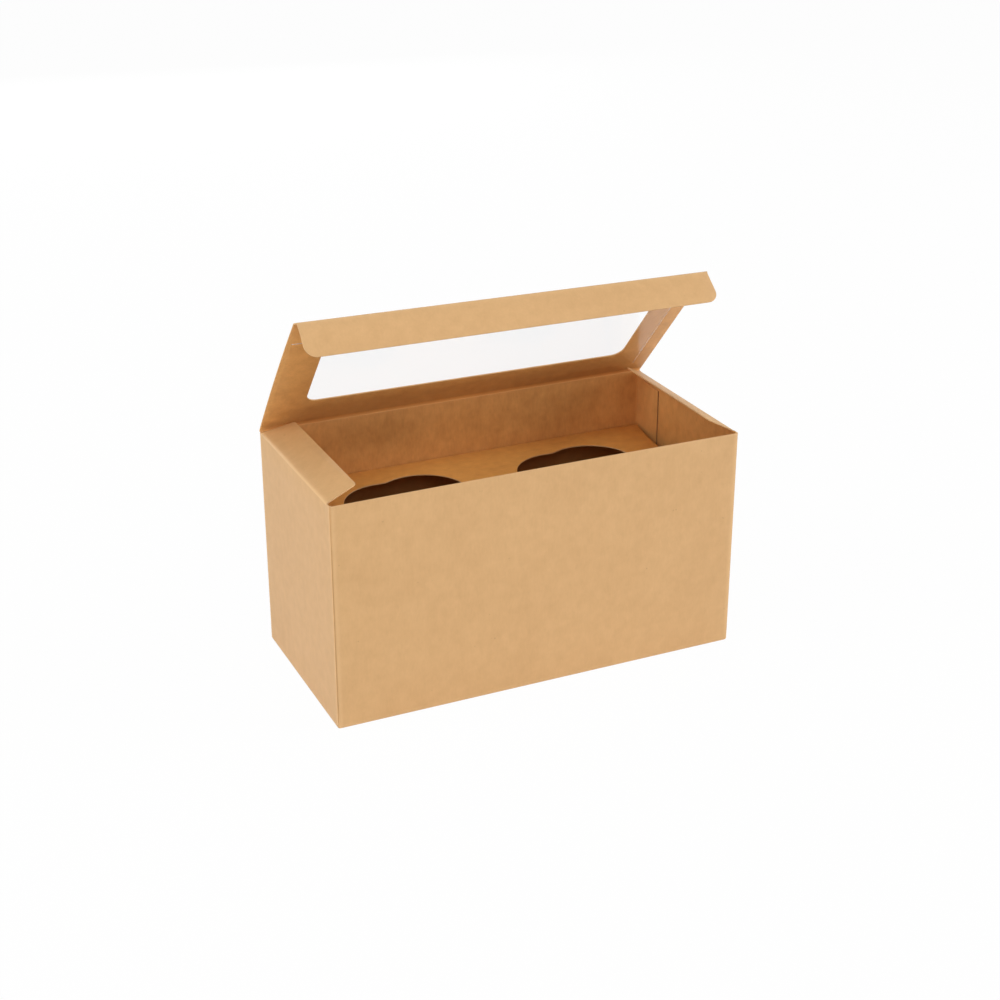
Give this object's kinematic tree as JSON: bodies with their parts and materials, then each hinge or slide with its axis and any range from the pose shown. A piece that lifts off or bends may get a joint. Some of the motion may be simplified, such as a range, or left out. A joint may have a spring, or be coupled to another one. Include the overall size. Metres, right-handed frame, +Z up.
{
  "type": "cupcake box",
  "caption": "Kraft card cupcake box with a hinged, windowed tuck-in lid, side dust flaps and a folded insert whose lobed holes hold the cups.",
  "frame": {"origin": "middle of the underside, on the surface the box stands on", "axes": "+X along the box's long side, to the right seen from the front; +Y from the front wall to the back wall, where the lid is hinged; +Z up"},
  "size_m": [0.175, 0.083, 0.1543],
  "materials": {
    "carton_card": "matte",
    "insert_card": "matte",
    "clear_film": "gloss"
  },
  "bodies": {
    "carton": {"box_body": "carton_card", "cupcake_insert": "insert_card"},
    "lid": {"lid": "carton_card", "window_film": "clear_film"},
    "tuck_flap": {"tuck_flap": "carton_card"},
    "left_dust_flap": {"left_dust_flap": "carton_card"},
    "right_dust_flap": {"right_dust_flap": "carton_card"}
  },
  "joints": [
    {"name": "lid_hinge", "type": "hinge", "parent": "carton", "child": "lid", "pos_m": [0, 0.04125, 0.09475], "axis": [-1, 0, 0], "range_deg": [-48, 132]},
    {"name": "tuck_flap_hinge", "type": "hinge", "parent": "lid", "child": "tuck_flap", "pos_m": [0, -0.01213, 0.15403], "axis": [-1, 0, 0], "range_deg": [-12, 88]},
    {"name": "left_dust_flap_hinge", "type": "hinge", "parent": "carton", "child": "left_dust_flap", "pos_m": [-0.08725, 0, 0.09395], "axis": [0, -1, 0], "range_deg": [-24.1, 66.1]},
    {"name": "right_dust_flap_hinge", "type": "hinge", "parent": "carton", "child": "right_dust_flap", "pos_m": [0.08725, 0, 0.09395], "axis": [0, 1, 0], "range_deg": [-28.9, 79.3]}
  ],
  "couplings": [
    {"joint": "left_dust_flap_hinge", "follows": "lid_hinge", "ratio": 0.5},
    {"joint": "right_dust_flap_hinge", "follows": "lid_hinge", "ratio": 0.6}
  ]
}
